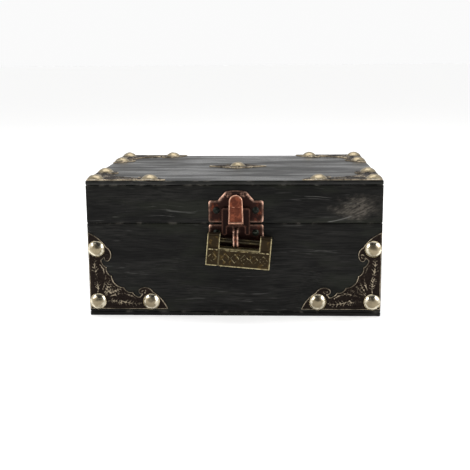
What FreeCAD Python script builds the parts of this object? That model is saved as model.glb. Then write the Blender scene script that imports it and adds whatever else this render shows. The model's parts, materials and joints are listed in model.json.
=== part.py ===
"""A small wooden treasure chest with a copper hasp and a sliding bar padlock.

Millimetres. X to the right, Y to the back, Z up. The origin is the middle of the underside, and the front
with the hasp and padlock faces -Y. Each node is one STEP file in parts/.
"""
import FreeCAD, Part
import math
import os

os.makedirs("parts", exist_ok=True)

# Chest, outside
WIDTH = 200.0
DEPTH = 156.0
BASE_HEIGHT = 65.0
LID_HEIGHT = 29.0

# Wood
WALL = 7.0
PANEL = 3.0
BOARD_ROUNDING = 0.6

# Corner plates and dome nails
PLATE_THICKNESS = 0.6
PLATE_EDGE_GAP = 0.6
PLATE_LEG = 53.5
PLATE_LIFT = 5.0
NAIL_INSET = 5.3
NAIL_PITCH = 37.0
NAIL_HEAD_D = 11.4
NAIL_HEAD_H = 3.0
NAIL_SHANK_D = 1.4
LID_NAIL_SHANK_LENGTH = 8.5
ORNAMENT_WIDTH = 43.4
ORNAMENT_DEPTH = 28.0

# Fasteners and fits
SCREW_HEAD_D = 4.8
SCREW_HEAD_H = 1.3
SCREW_SHANK_D = 2.2
SCREW_SLOT = 0.7
POINT_COVER = 0.6
PILOT_CLEARANCE = 0.1
PIN_CLEARANCE = 0.06
SIDE_CLEARANCE = 0.2

# Hasp on the front
HASP_X = 1.6
HASP_WIDTH = 37.0
HASP_SHEET = 1.0
HASP_SEAM_GAP = 0.6
UPPER_PLATE_SHOULDER = 15.0
UPPER_PLATE_ARCH = 6.8
ARCH_FOOT_WIDTH = 24.6
ARCH_TOP_WIDTH = 14.0
LOWER_PLATE_HEIGHT = 17.0
PLATE_CORNER_R = 1.6
SHEET_BEVEL = 0.4
HASP_SCREW_INSET = 5.4
UPPER_SCREW_HEIGHT = 8.4
LOWER_SCREW_DROP = 5.6
KNUCKLE_R = 1.6
HASP_PIN_D = 1.5
HASP_PIN_HEAD_D = 2.4
HASP_PIN_HEAD_H = 0.5
PIVOT_HEIGHT = 19.2
PIVOT_GAP = 0.2
LUG_LENGTH = 2.2
NECK_WIDTH = 6.4
LEAF_WIDTH = 19.0
LEAF_SHEET = 1.2
LEAF_SHOULDER_HEIGHT = 10.4
LEAF_TIP_GAP = 1.7
LEAF_SLOT_WIDTH = 12.0
LEAF_SLOT_TOP = 1.2
TAB_TOP_WIDTH = 9.2
TAB_FOOT_WIDTH = 10.2
TAB_SHEET = 1.2
TAB_LIP = 0.8
TAB_LIP_HEIGHT = 1.5
TAB_FOOT_HEIGHT = -0.3
TAB_RISE = 0.2
TAB_RIVET_D = 1.6
TAB_RIVET_DROPS = (8.0, 14.5)

# Staple that the padlock's bar goes through
STAPLE_THICKNESS = 2.1
STAPLE_WIDTH = 3.4
STAPLE_HEIGHT = 12.0
STAPLE_DROP = 3.0
BAR_STAND_OFF = 7.6
BAR_REST_GAP = 0.3

# Padlock, along its own bar
LOCK_TILT_DEG = 5.0
LOCK_THICKNESS = 8.6
BAR_D = 3.5
SWING_GAP = 0.55
BODY_HEIGHT = 12.2
ARM_RISE = 4.4
END_PIECE_LEFT = 18.9
END_PIECE_WIDTH = 8.4
ARM_RIGHT = 23.9
ARM_WIDTH = 7.7
BAR_SOCKET_DEPTH = 6.0
BAR_SEAT_DEPTH = 6.0
BAR_END_GAP = 0.4
ARM_TOP_ROUNDING = 1.5
BOLT_WIDTH = 2.8
BOLT_HEIGHT = 3.8
SPRING_ROOM = 1.3
BOLT_HEADROOM = 0.5
CAVITY_END_WALL = 1.6
MOUTH_CLEARANCE = 0.2
MOUTH_LIP = 1.5
BOLT_LENGTH = 25.0
BOLT_SEAT_DEPTH = 4.0
SPRING_SHEET = 0.35
SPRING_SEAT = 3.5
SPRING_END_GAP = 0.5
SPRING_SPLAY_GAP = 0.25

# Hinges on the back
HINGE_X = 60.0
HINGE_WIDTH = 22.0
HINGE_LEAF_HEIGHT = 16.0
HINGE_SHEET = 0.9
HINGE_KNUCKLE_R = 1.9
HINGE_BARREL_GAP = 0.2
HINGE_PIN_D = 1.9
HINGE_PIN_HEAD_D = 3.0
HINGE_PIN_HEAD_H = 0.7
HINGE_MIDDLE_SHARE = 3
HINGE_SCREW_INSET = 4.6
HINGE_SCREW_OUT = 9.6

FRONT = -DEPTH / 2
BACK = DEPTH / 2
SIDE = WIDTH / 2
SEAM = BASE_HEIGHT
TOP = BASE_HEIGHT + LID_HEIGHT


def vector(x, y, z):
    return FreeCAD.Vector(x, y, z)


def box(x0, x1, y0, y1, z0, z1):
    """A block between two corners."""
    return Part.makeBox(x1 - x0, y1 - y0, z1 - z0, vector(x0, y0, z0))


def rod(radius, start, direction, length):
    return Part.makeCylinder(radius, length, start, direction)


def save(name, *solids):
    """Writes one node; a group of like pieces shares a node as separate solids."""
    shape = solids[0] if len(solids) == 1 else Part.Compound(list(solids))
    shape.exportStep("parts/%s.step" % name)


def outline(start, steps, place):
    """A closed wire. Each step is (point on the arc or None for a line, end point)."""
    edges = []
    at = start
    for through, end in steps:
        if through is None:
            edges.append(Part.LineSegment(place(*at), place(*end)).toShape())
        else:
            edges.append(Part.Arc(place(*at), place(*through), place(*end)).toShape())
        at = end
    return Part.Wire(edges)


def walked_back(start, steps, flip):
    """The same run from its end to its start, with every point flipped by a mirror."""
    ends = [start] + [end for _, end in steps]
    run = []
    for number in range(len(steps) - 1, -1, -1):
        through = steps[number][0]
        run.append((flip(*through) if through else None, flip(*ends[number])))
    return run


def sheet(wire, offset):
    """A flat sheet that stands on the wire and is as thick as the offset is long."""
    return Part.Face(wire).extrude(offset)


def edges_in_plane(shape, point, normal):
    """The edges whose every vertex lies in a plane."""
    found = []
    for edge in shape.Edges:
        if all(abs((v.Point - point).dot(normal)) < 1e-6 for v in edge.Vertexes):
            found.append(edge)
    return found


def dome_fastener(head_d, head_h, shank_d, shank_length, seat, out):
    """A domed head that sits on a face at seat, with its shank going the other way."""
    head_r = head_d / 2
    shank_r = shank_d / 2
    ball_r = (head_r ** 2 + head_h ** 2) / (2 * head_h)
    half_way = math.asin(head_r / ball_r) / 2
    bulge = vector(ball_r * math.sin(half_way), 0, ball_r * math.cos(half_way) - ball_r + head_h)
    crown = vector(0, 0, head_h)
    rim = vector(head_r, 0, 0)
    neck = vector(shank_r, 0, 0)
    foot = vector(shank_r, 0, -shank_length)
    tip = vector(0, 0, -shank_length - shank_r)
    profile = [
        Part.Arc(crown, bulge, rim).toShape(),
        Part.LineSegment(rim, neck).toShape(),
        Part.LineSegment(neck, foot).toShape(),
        Part.LineSegment(foot, tip).toShape(),
        Part.LineSegment(tip, crown).toShape(),
    ]
    solid = Part.Face(Part.Wire(profile)).revolve(vector(0, 0, 0), vector(0, 0, 1), 360)
    solid.Placement = FreeCAD.Placement(seat, FreeCAD.Rotation(vector(0, 0, 1), out))
    return solid


def pilot_hole(shank_d, shank_length, seat, out):
    """The hole that a fastener's shank and point sit in, from its seat inwards."""
    depth = shank_length + shank_d / 2 + PILOT_CLEARANCE
    return rod(shank_d / 2 + PILOT_CLEARANCE, seat, -out, depth)


def nail(seat, out, shank_length):
    return dome_fastener(NAIL_HEAD_D, NAIL_HEAD_H, NAIL_SHANK_D, shank_length, seat, out)


def nail_hole(seat, out, shank_length):
    return pilot_hole(NAIL_SHANK_D, shank_length, seat, out)


def shank_in_wood(wood, covering, shank_d):
    """The shank that brings a fastener's point to POINT_COVER short of the wood's far face."""
    return wood + covering - POINT_COVER - shank_d / 2


def screw(seat, out, slot_along, covering):
    """A dome-headed wood screw with a straight slot, through a sheet as thick as covering."""
    length = shank_in_wood(WALL, covering, SCREW_SHANK_D)
    solid = dome_fastener(SCREW_HEAD_D, SCREW_HEAD_H, SCREW_SHANK_D, length, seat, out)
    across = out.cross(slot_along)
    corner = seat + out * (SCREW_HEAD_H * 0.55) - slot_along * SCREW_HEAD_D - across * (SCREW_SLOT / 2)
    floor = Part.makePolygon([
        corner,
        corner + slot_along * (2 * SCREW_HEAD_D),
        corner + slot_along * (2 * SCREW_HEAD_D) + across * SCREW_SLOT,
        corner + across * SCREW_SLOT,
        corner,
    ])
    return solid.cut(sheet(floor, out * SCREW_HEAD_H))


def screw_hole(seat, out, covering):
    return pilot_hole(SCREW_SHANK_D, shank_in_wood(WALL, covering, SCREW_SHANK_D), seat, out)


X_AXIS = vector(1, 0, 0)
Y_AXIS = vector(0, 1, 0)
Z_AXIS = vector(0, 0, 1)
pilot_holes = []


# Corner plates: two on the base's front, four on the lid's top
def corner_plate_steps():
    """Half of a plate's edge, from the tip of one leg to the diagonal: a lobe, a scroll and two scallops."""
    return [
        ((49.8, 6.4), (43.5, 12.0)),
        ((39.2, 15.2), (34.6, 14.2)),
        ((33.6, 12.0), (36.2, 10.6)),
        (None, (34.4, 8.4)),
        ((31.4, 9.4), (29.4, 11.8)),
        ((26.0, 12.2), (23.3, 15.2)),
        ((20.2, 15.9), (17.6, 17.6)),
    ]


def corner_plate(name, corner, along_u, along_v, out, shank_length):
    """One plate with its three nails; the plate's corner is at corner."""
    def place(u, v):
        return corner + along_u * u + along_v * v

    tip = (PLATE_LEG, 0.0)
    half = corner_plate_steps()
    steps = half + walked_back(tip, half, lambda u, v: (v, u)) + [(None, (0.0, 0.0)), (None, tip)]
    plate = sheet(outline(tip, steps, place), out * PLATE_THICKNESS)
    near = NAIL_INSET
    far = NAIL_INSET + NAIL_PITCH
    seats = [place(u, v) + out * PLATE_THICKNESS for u, v in ((near, near), (far, near), (near, far))]
    holes = [nail_hole(seat, out, shank_length) for seat in seats]
    pilot_holes.extend(holes)
    save(name + "_plate", plate.cut(holes))
    save(name + "_nails", *[nail(seat, out, shank_length) for seat in seats])


for side_name, side in (("left", -1), ("right", 1)):
    corner_plate(
        "base_%s_corner" % side_name,
        vector(side * (SIDE - PLATE_EDGE_GAP), FRONT, PLATE_LIFT),
        X_AXIS * -side, Z_AXIS, -Y_AXIS, shank_in_wood(WALL, PLATE_THICKNESS, NAIL_SHANK_D))
    for end_name, end in (("front", -1), ("back", 1)):
        corner_plate(
            "lid_%s_%s_corner" % (end_name, side_name),
            vector(side * (SIDE - PLATE_EDGE_GAP), end * (BACK - PLATE_EDGE_GAP), TOP),
            X_AXIS * -side, Y_AXIS * -end, Z_AXIS, LID_NAIL_SHANK_LENGTH)


# Pressed ornament in the middle of the lid, held by one nail
def lid_ornament():
    half_x = ORNAMENT_WIDTH / 2
    half_y = ORNAMENT_DEPTH / 2
    tip = (half_x, 0.0)
    quarter = [
        ((0.78 * half_x, 0.16 * half_y), (0.60 * half_x, 0.36 * half_y)),
        ((0.50 * half_x, 0.40 * half_y), (0.42 * half_x, 0.66 * half_y)),
        ((0.22 * half_x, 0.68 * half_y), (0.0, half_y)),
    ]
    half = quarter + walked_back(tip, quarter, lambda x, y: (-x, y))
    steps = half + walked_back(tip, half, lambda x, y: (x, -y))
    plate = sheet(outline(tip, steps, lambda x, y: vector(x, y, TOP)), Z_AXIS * PLATE_THICKNESS)
    seat = vector(0, 0, TOP + PLATE_THICKNESS)
    shank_length = shank_in_wood(PANEL, PLATE_THICKNESS, NAIL_SHANK_D)
    hole = nail_hole(seat, Z_AXIS, shank_length)
    pilot_holes.append(hole)
    save("lid_ornament", plate.cut(hole))
    save("lid_ornament_nail", nail(seat, Z_AXIS, shank_length))


lid_ornament()


# Hasp: upper plate on the lid, lower plate on the base
HASP_FACE = FRONT - HASP_SHEET
UPPER_FOOT = SEAM + HASP_SEAM_GAP
LOWER_HEAD = SEAM - HASP_SEAM_GAP
PIVOT_Y = HASP_FACE - PIVOT_GAP - KNUCKLE_R
PIVOT_Z = UPPER_FOOT + PIVOT_HEIGHT
LEAF_FACE = PIVOT_Y - KNUCKLE_R
LEAF_BACK = LEAF_FACE + LEAF_SHEET


def hasp_screws(name, height):
    """Two screws, one near each side of a hasp plate."""
    seats = []
    for side in (-1, 1):
        seats.append(vector(HASP_X + side * (HASP_WIDTH / 2 - HASP_SCREW_INSET), HASP_FACE, height))
    holes = [screw_hole(seat, -Y_AXIS, HASP_SHEET) for seat in seats]
    pilot_holes.extend(holes)
    save(name, *[screw(seat, -Y_AXIS, X_AXIS, HASP_SHEET) for seat in seats])
    return holes


def on_front(x, z):
    """A point of the hasp's outlines, on the chest's front face."""
    return vector(HASP_X + x, FRONT, z)


def bevelled_front(shape, face_y, size):
    """Takes the sharp corner off the edges round a sheet's outer face."""
    edges = edges_in_plane(shape, vector(0, face_y, 0), Y_AXIS)
    return shape.makeChamfer(size, edges)


def hasp_upper_plate():
    """A plate with a peaked top, and two ears that hold the pin."""
    half = HASP_WIDTH / 2
    shoulder = UPPER_FOOT + UPPER_PLATE_SHOULDER
    crest = shoulder + UPPER_PLATE_ARCH
    r = PLATE_CORNER_R
    turn = r * (1 - math.sqrt(0.5))
    foot_x = ARCH_FOOT_WIDTH / 2
    top_x = ARCH_TOP_WIDTH / 2
    start = (0.0, UPPER_FOOT)
    right = [
        (None, (half - r, UPPER_FOOT)),
        ((half - turn, UPPER_FOOT + turn), (half, UPPER_FOOT + r)),
        (None, (half, shoulder - r)),
        ((half - turn, shoulder - turn), (half - r, shoulder)),
        (None, (foot_x, shoulder)),
        (None, (top_x, crest - 0.8)),
        ((top_x / 2, crest - 0.2), (0.0, crest)),
    ]
    steps = right + walked_back(start, right, lambda x, z: (-x, z))
    plate = sheet(outline(start, steps, on_front), -Y_AXIS * HASP_SHEET)
    plate = bevelled_front(plate, HASP_FACE, SHEET_BEVEL)
    for side in (-1, 1):
        inner = NECK_WIDTH / 2 + SIDE_CLEARANCE
        x0 = HASP_X + min(side * inner, side * (inner + LUG_LENGTH))
        x1 = x0 + LUG_LENGTH
        ear = rod(KNUCKLE_R, vector(x0, PIVOT_Y, PIVOT_Z), X_AXIS, LUG_LENGTH)
        web = box(x0, x1, PIVOT_Y, HASP_FACE, PIVOT_Z - KNUCKLE_R * 0.9, PIVOT_Z + KNUCKLE_R * 0.6)
        plate = plate.fuse([ear, web])
    bore_start = vector(HASP_X - HASP_WIDTH / 2, PIVOT_Y, PIVOT_Z)
    plate = plate.cut(rod(HASP_PIN_D / 2 + PIN_CLEARANCE, bore_start, X_AXIS, HASP_WIDTH))
    return plate.removeSplitter().cut(hasp_screws("hasp_upper_screws", UPPER_FOOT + UPPER_SCREW_HEIGHT))


BAR_R = BAR_D / 2
STAPLE_INNER_R = BAR_R + BAR_REST_GAP
STAPLE_OUTER_R = STAPLE_INNER_R + STAPLE_THICKNESS
STAPLE_HEAD = SEAM - STAPLE_DROP
STAPLE_FOOT = STAPLE_HEAD - STAPLE_HEIGHT
BAR_Y = FRONT - BAR_STAND_OFF
BAR_Z = STAPLE_FOOT + STAPLE_OUTER_R


def staple():
    """A loop bent from flat bar, standing on edge, with its two legs through the lower plate.

    Its front corners turn round the padlock's bar, so that the padlock can swing.
    """
    def loop(foot, head, r):
        def place(y, z):
            return vector(HASP_X - STAPLE_WIDTH / 2, y, z)
        turn = r * math.sqrt(0.5)
        steps = [
            (None, (BAR_Y, head)),
            ((BAR_Y - turn, head - r + turn), (BAR_Y - r, head - r)),
            (None, (BAR_Y - r, foot + r)),
            ((BAR_Y - turn, foot + r - turn), (BAR_Y, foot)),
            (None, (FRONT, foot)),
            (None, (FRONT, head)),
        ]
        return sheet(outline((FRONT, head), steps, place), X_AXIS * STAPLE_WIDTH)
    hole = loop(STAPLE_FOOT + STAPLE_THICKNESS, STAPLE_HEAD - STAPLE_THICKNESS, STAPLE_INNER_R)
    return loop(STAPLE_FOOT, STAPLE_HEAD, STAPLE_OUTER_R).cut(hole)


def hasp_lower_plate(staple_solid):
    half = HASP_WIDTH / 2
    foot = LOWER_HEAD - LOWER_PLATE_HEIGHT
    r = PLATE_CORNER_R
    turn = r * (1 - math.sqrt(0.5))
    start = (0.0, foot)
    right = [
        (None, (half - r, foot)),
        ((half - turn, foot + turn), (half, foot + r)),
        (None, (half, LOWER_HEAD - r)),
        ((half - turn, LOWER_HEAD - turn), (half - r, LOWER_HEAD)),
        (None, (0.0, LOWER_HEAD)),
    ]
    steps = right + walked_back(start, right, lambda x, z: (-x, z))
    plate = sheet(outline(start, steps, on_front), -Y_AXIS * HASP_SHEET)
    plate = bevelled_front(plate, HASP_FACE, SHEET_BEVEL)
    return plate.cut(hasp_screws("hasp_lower_screws", LOWER_HEAD - LOWER_SCREW_DROP) + [staple_solid])


def hasp_leaf():
    """The swinging leaf: a knuckle on a narrow neck, and a wide fork that straddles the staple."""
    neck = NECK_WIDTH / 2
    half = LEAF_WIDTH / 2
    slot = LEAF_SLOT_WIDTH / 2
    shoulder = UPPER_FOOT + LEAF_SHOULDER_HEIGHT
    tip = BAR_Z + BAR_R + LEAF_TIP_GAP
    slot_top = SEAM - LEAF_SLOT_TOP
    r = PLATE_CORNER_R
    turn = r * (1 - math.sqrt(0.5))
    tine = (half - slot) / 2
    start = (0.0, PIVOT_Z)
    right = [
        (None, (neck, PIVOT_Z)),
        (None, (neck, shoulder)),
        (None, (half - r, shoulder)),
        ((half - turn, shoulder - turn), (half, shoulder - r)),
        (None, (half, tip + tine)),
        ((half - tine, tip), (slot, tip + tine)),
        (None, (slot, slot_top - r)),
        ((slot - turn, slot_top - turn), (slot - r, slot_top)),
        (None, (0.0, slot_top)),
    ]
    steps = right + walked_back(start, right, lambda x, z: (-x, z))
    leaf = sheet(outline(start, steps, lambda x, z: vector(HASP_X + x, LEAF_BACK, z)), -Y_AXIS * LEAF_SHEET)
    knuckle = rod(KNUCKLE_R, vector(HASP_X - neck, PIVOT_Y, PIVOT_Z), X_AXIS, NECK_WIDTH)
    leaf = leaf.fuse(knuckle)
    bore = rod(HASP_PIN_D / 2 + PIN_CLEARANCE, vector(HASP_X - neck, PIVOT_Y, PIVOT_Z), X_AXIS, NECK_WIDTH)
    return leaf.cut(bore).removeSplitter()


def hasp_tab():
    """The thumb tab on the leaf: a rounded top and a thick lip at its foot."""
    foot = UPPER_FOOT + TAB_FOOT_HEIGHT
    top = PIVOT_Z + TAB_RISE
    top_x = TAB_TOP_WIDTH / 2
    foot_x = TAB_FOOT_WIDTH / 2
    start = (-foot_x, foot)
    steps = [
        (None, (foot_x, foot)),
        (None, (top_x, top - top_x)),
        ((0.0, top), (-top_x, top - top_x)),
        (None, start),
    ]
    tab = sheet(outline(start, steps, lambda x, z: vector(HASP_X + x, LEAF_FACE, z)), -Y_AXIS * TAB_SHEET)
    tab = bevelled_front(tab, LEAF_FACE - TAB_SHEET, SHEET_BEVEL)
    lip_y = LEAF_FACE - TAB_SHEET - TAB_LIP
    lip = box(HASP_X - foot_x, HASP_X + foot_x, lip_y, LEAF_FACE, foot, foot + TAB_LIP_HEIGHT)
    lip = bevelled_front(lip, lip_y, SHEET_BEVEL)
    return tab.fuse(lip).removeSplitter()


def tab_rivets():
    """Two rivets through the tab and the leaf, flush at both faces."""
    rivets = []
    for drop in TAB_RIVET_DROPS:
        start = vector(HASP_X, LEAF_BACK, PIVOT_Z - drop)
        rivets.append(rod(TAB_RIVET_D / 2, start, -Y_AXIS, LEAF_SHEET + TAB_SHEET))
    return rivets


def hasp_pin():
    """The pin through both ears and the leaf's knuckle, riveted over at its two ends."""
    reach = NECK_WIDTH / 2 + SIDE_CLEARANCE + LUG_LENGTH
    pin = rod(HASP_PIN_D / 2, vector(HASP_X - reach, PIVOT_Y, PIVOT_Z), X_AXIS, 2 * reach)
    for side in (-1, 1):
        end = vector(HASP_X + side * reach, PIVOT_Y, PIVOT_Z)
        pin = pin.fuse(rod(HASP_PIN_HEAD_D / 2, end, X_AXIS * side, HASP_PIN_HEAD_H))
    return pin.removeSplitter()


staple_loop = staple()
rivets = tab_rivets()
save("hasp_upper_plate", hasp_upper_plate())
save("hasp_lower_plate", hasp_lower_plate(staple_loop))
save("hasp_staple", staple_loop)
save("hasp_pin", hasp_pin())
save("hasp_leaf", hasp_leaf().cut(rivets))
save("hasp_tab", hasp_tab().cut(rivets))
save("hasp_tab_rivets", *rivets)

# Padlock, drawn with its bar along X through the origin, then tilted and hung in the staple
BODY_TOP = -STAPLE_OUTER_R - SWING_GAP
BODY_FOOT = BODY_TOP - BODY_HEIGHT
BODY_LEFT = -END_PIECE_LEFT + END_PIECE_WIDTH
BODY_RIGHT = ARM_RIGHT
HALF_LOCK = LOCK_THICKNESS / 2
BOLT_Z = BODY_FOOT + BODY_HEIGHT / 2


def hung(shape):
    """Carries a padlock piece from its own frame to its place in the staple."""
    place = FreeCAD.Placement(
        vector(HASP_X, BAR_Y, BAR_Z), FreeCAD.Rotation(vector(0, 1, 0), LOCK_TILT_DEG))
    shape.Placement = place.multiply(shape.Placement)
    return shape


def lock_block(x0, x1, z1):
    """A block as thick as the padlock that stands on the padlock's foot level."""
    return box(x0, x1, -HALF_LOCK, HALF_LOCK, BODY_FOOT, z1)


def rounded_arm_top(block):
    """Rounds an arm's top edges that swing past the hasp's lower plate."""
    edges = []
    for edge in block.Edges:
        level = all(abs(v.Point.z - ARM_RISE) < 1e-6 for v in edge.Vertexes)
        outer = all(abs(abs(v.Point.y) - HALF_LOCK) < 1e-6 for v in edge.Vertexes)
        along = abs(edge.Vertexes[0].Point.y - edge.Vertexes[1].Point.y) < 1e-6
        if level and outer and along:
            edges.append(edge)
    return block.makeFillet(ARM_TOP_ROUNDING, edges)


def padlock_body():
    """The case: a hollow block, its right arm with the bar's socket, and a keyhole in its right end."""
    case = lock_block(BODY_LEFT, BODY_RIGHT, BODY_TOP)
    arm = rounded_arm_top(lock_block(BODY_RIGHT - ARM_WIDTH, BODY_RIGHT, ARM_RISE))
    case = case.fuse(arm).removeSplitter()
    inner_left = BODY_LEFT + MOUTH_LIP
    inner_right = BODY_RIGHT - CAVITY_END_WALL
    half_room = BOLT_WIDTH / 2 + SPRING_ROOM
    half_mouth = BOLT_WIDTH / 2 + MOUTH_CLEARANCE
    z0 = BOLT_Z - BOLT_HEIGHT / 2 - BOLT_HEADROOM
    z1 = BOLT_Z + BOLT_HEIGHT / 2 + BOLT_HEADROOM
    cavity = box(inner_left, inner_right, -half_room, half_room, z0, z1)
    mouth = box(BODY_LEFT, inner_left, -half_mouth, half_mouth, z0, z1)
    half_key = BOLT_HEIGHT / 2 + MOUTH_CLEARANCE
    keyhole = box(inner_right, BODY_RIGHT, -half_mouth, half_mouth, BOLT_Z - half_key, BOLT_Z + half_key)
    socket = rod(BAR_R + PIN_CLEARANCE, vector(BODY_RIGHT - ARM_WIDTH, 0, 0), X_AXIS, BAR_SOCKET_DEPTH)
    return case.cut([cavity, mouth, keyhole, socket])


def bar_solid(clearance):
    """The round bar, seated in the end piece at its left and free in the arm's socket at its right."""
    start = BODY_LEFT - BAR_SEAT_DEPTH
    end = BODY_RIGHT - ARM_WIDTH + BAR_SOCKET_DEPTH - BAR_END_GAP
    return rod(BAR_R + clearance, vector(start, 0, 0), X_AXIS, end - start)


def bolt_solid(clearance):
    """The flat bolt inside the case, seated in the end piece."""
    half_w = BOLT_WIDTH / 2 + clearance
    half_h = BOLT_HEIGHT / 2 + clearance
    start = BODY_LEFT - BOLT_SEAT_DEPTH
    return box(start, BODY_LEFT + BOLT_LENGTH, -half_w, half_w, BOLT_Z - half_h, BOLT_Z + half_h)


def end_piece():
    """The left end, which slides out with the bar and the bolt."""
    block = rounded_arm_top(lock_block(-END_PIECE_LEFT, BODY_LEFT, ARM_RISE))
    return block.cut([bar_solid(PIN_CLEARANCE / 2), bolt_solid(PIN_CLEARANCE / 2)])


def springs():
    """Two splayed leaf springs on the bolt's tip, whose free ends catch behind the case's mouth."""
    tip = BODY_LEFT + BOLT_LENGTH
    free = BODY_LEFT + MOUTH_LIP + SPRING_END_GAP
    root = BOLT_WIDTH / 2
    splay = BOLT_WIDTH / 2 + SPRING_ROOM - SPRING_SPLAY_GAP
    blades = []
    for side in (-1, 1):
        corners = [
            (tip, root),
            (tip, root + SPRING_SHEET),
            (tip - SPRING_SEAT, root + SPRING_SHEET),
            (free, splay),
            (free, splay - SPRING_SHEET),
            (tip - SPRING_SEAT, root),
            (tip, root),
        ]
        foot = BOLT_Z - BOLT_HEIGHT / 2
        wire = Part.makePolygon([vector(x, side * y, foot) for x, y in corners])
        blades.append(sheet(wire, Z_AXIS * BOLT_HEIGHT))
    return blades


save("padlock_body", hung(padlock_body()))
save("padlock_end_piece", hung(end_piece()))
save("padlock_bar", hung(bar_solid(0.0)))
save("padlock_bolt", hung(bolt_solid(0.0)))
save("padlock_springs", *[hung(blade) for blade in springs()])

# Hinges: surface-mounted on the back, barrel outside the boards
HINGE_Y = BACK + HINGE_BARREL_GAP + HINGE_KNUCKLE_R
HINGE_Z = SEAM
HINGE_FACE = BACK + HINGE_SHEET


def hinge_leaf(x_middle, up, knuckle_spans, clear_spans):
    """One leaf: a flat plate on the board, its knuckles, and gaps for the other leaf's knuckles."""
    half = HINGE_WIDTH / 2
    far = HINGE_Z + up * HINGE_LEAF_HEIGHT
    leaf = box(x_middle - half, x_middle + half, BACK, HINGE_FACE, min(HINGE_Z, far), max(HINGE_Z, far))
    for x0, x1 in knuckle_spans:
        start = vector(x_middle + x0, HINGE_Y, HINGE_Z)
        leaf = leaf.fuse(rod(HINGE_KNUCKLE_R, start, X_AXIS, x1 - x0))
    reach = HINGE_KNUCKLE_R + 2 * HINGE_BARREL_GAP
    for x0, x1 in clear_spans:
        gap = box(x_middle + x0, x_middle + x1, BACK, HINGE_FACE, HINGE_Z - reach, HINGE_Z + reach)
        leaf = leaf.cut(gap)
    edge = box(x_middle - half, x_middle + half, BACK, HINGE_Y - HINGE_KNUCKLE_R,
               HINGE_Z - SIDE_CLEARANCE, HINGE_Z + SIDE_CLEARANCE)
    leaf = leaf.cut(edge)
    bore_start = vector(x_middle - half, HINGE_Y, HINGE_Z)
    bore = rod(HINGE_PIN_D / 2 + PIN_CLEARANCE, bore_start, X_AXIS, HINGE_WIDTH)
    return leaf.cut(bore).removeSplitter()


def hinge_screw_seats(x_middle, up):
    seats = []
    for side in (-1, 1):
        x = x_middle + side * (HINGE_WIDTH / 2 - HINGE_SCREW_INSET)
        seats.append(vector(x, HINGE_FACE, HINGE_Z + up * HINGE_SCREW_OUT))
    return seats


def hinge(name, x_middle):
    """Base leaf with the two outer knuckles, lid leaf with the middle one, and a headed pin."""
    half = HINGE_WIDTH / 2
    third = HINGE_WIDTH / HINGE_MIDDLE_SHARE / 2
    middle = [(-third + SIDE_CLEARANCE / 2, third - SIDE_CLEARANCE / 2)]
    outer = [(-half, -third - SIDE_CLEARANCE / 2), (third + SIDE_CLEARANCE / 2, half)]
    middle_gap = [(-third - SIDE_CLEARANCE / 2, third + SIDE_CLEARANCE / 2)]
    outer_gap = [(-half, -third + SIDE_CLEARANCE / 2), (third - SIDE_CLEARANCE / 2, half)]
    for part_name, up, own, others in (("base", -1, outer, middle_gap), ("lid", 1, middle, outer_gap)):
        seats = hinge_screw_seats(x_middle, up)
        holes = [screw_hole(seat, Y_AXIS, HINGE_SHEET) for seat in seats]
        pilot_holes.extend(holes)
        save("%s_%s_leaf" % (name, part_name), hinge_leaf(x_middle, up, own, others).cut(holes))
        screws = [screw(seat, Y_AXIS, X_AXIS, HINGE_SHEET) for seat in seats]
        save("%s_%s_screws" % (name, part_name), *screws)
    pin = rod(HINGE_PIN_D / 2, vector(x_middle - half, HINGE_Y, HINGE_Z), X_AXIS, HINGE_WIDTH)
    head = rod(HINGE_PIN_HEAD_D / 2, vector(x_middle - half, HINGE_Y, HINGE_Z), -X_AXIS, HINGE_PIN_HEAD_H)
    save(name + "_pin", pin.fuse(head).removeSplitter())


hinge("left_hinge", -HINGE_X)
hinge("right_hinge", HINGE_X)


# Boards: front and back run the full width, the sides fit between them, and thin panels close both halves
def board(x0, x1, y0, y1, z0, z1, out):
    """A board whose outer face has slightly rounded edges, bored for the nails and screws that enter it."""
    solid = box(x0, x1, y0, y1, z0, z1)
    outer = vector(x1 if out.x > 0 else x0, y1 if out.y > 0 else y0, z0)
    solid = solid.makeFillet(BOARD_ROUNDING, edges_in_plane(solid, outer, out))
    return solid.cut(pilot_holes)


def panel(z0, z1):
    """A thin full-size panel with all its outer edges slightly rounded."""
    solid = box(-SIDE, SIDE, FRONT, BACK, z0, z1)
    return solid.makeFillet(BOARD_ROUNDING, solid.Edges).cut(pilot_holes)


def frame(name, z0, z1):
    """The four boards of the base or of the lid."""
    save(name + "_front_board", board(-SIDE, SIDE, FRONT, FRONT + WALL, z0, z1, -Y_AXIS))
    save(name + "_back_board", board(-SIDE, SIDE, BACK - WALL, BACK, z0, z1, Y_AXIS))
    save(name + "_left_board", board(-SIDE, -SIDE + WALL, FRONT + WALL, BACK - WALL, z0, z1, -X_AXIS))
    save(name + "_right_board", board(SIDE - WALL, SIDE, FRONT + WALL, BACK - WALL, z0, z1, X_AXIS))


frame("base", PANEL, SEAM)
frame("lid", SEAM, TOP - PANEL)
save("base_bottom_panel", panel(0.0, PANEL))
save("lid_top_panel", panel(TOP - PANEL, TOP))
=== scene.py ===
"""A small black-stained wooden treasure chest with pressed bronze corners, dome nails, a red copper hasp and
a bronze bar padlock. It is put together here in the order that it is made, in metres, round its CAD frame."""
import json
import math

import bmesh
import bpy
import numpy as np
from mathutils import Matrix, Vector, geometry, noise


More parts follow.
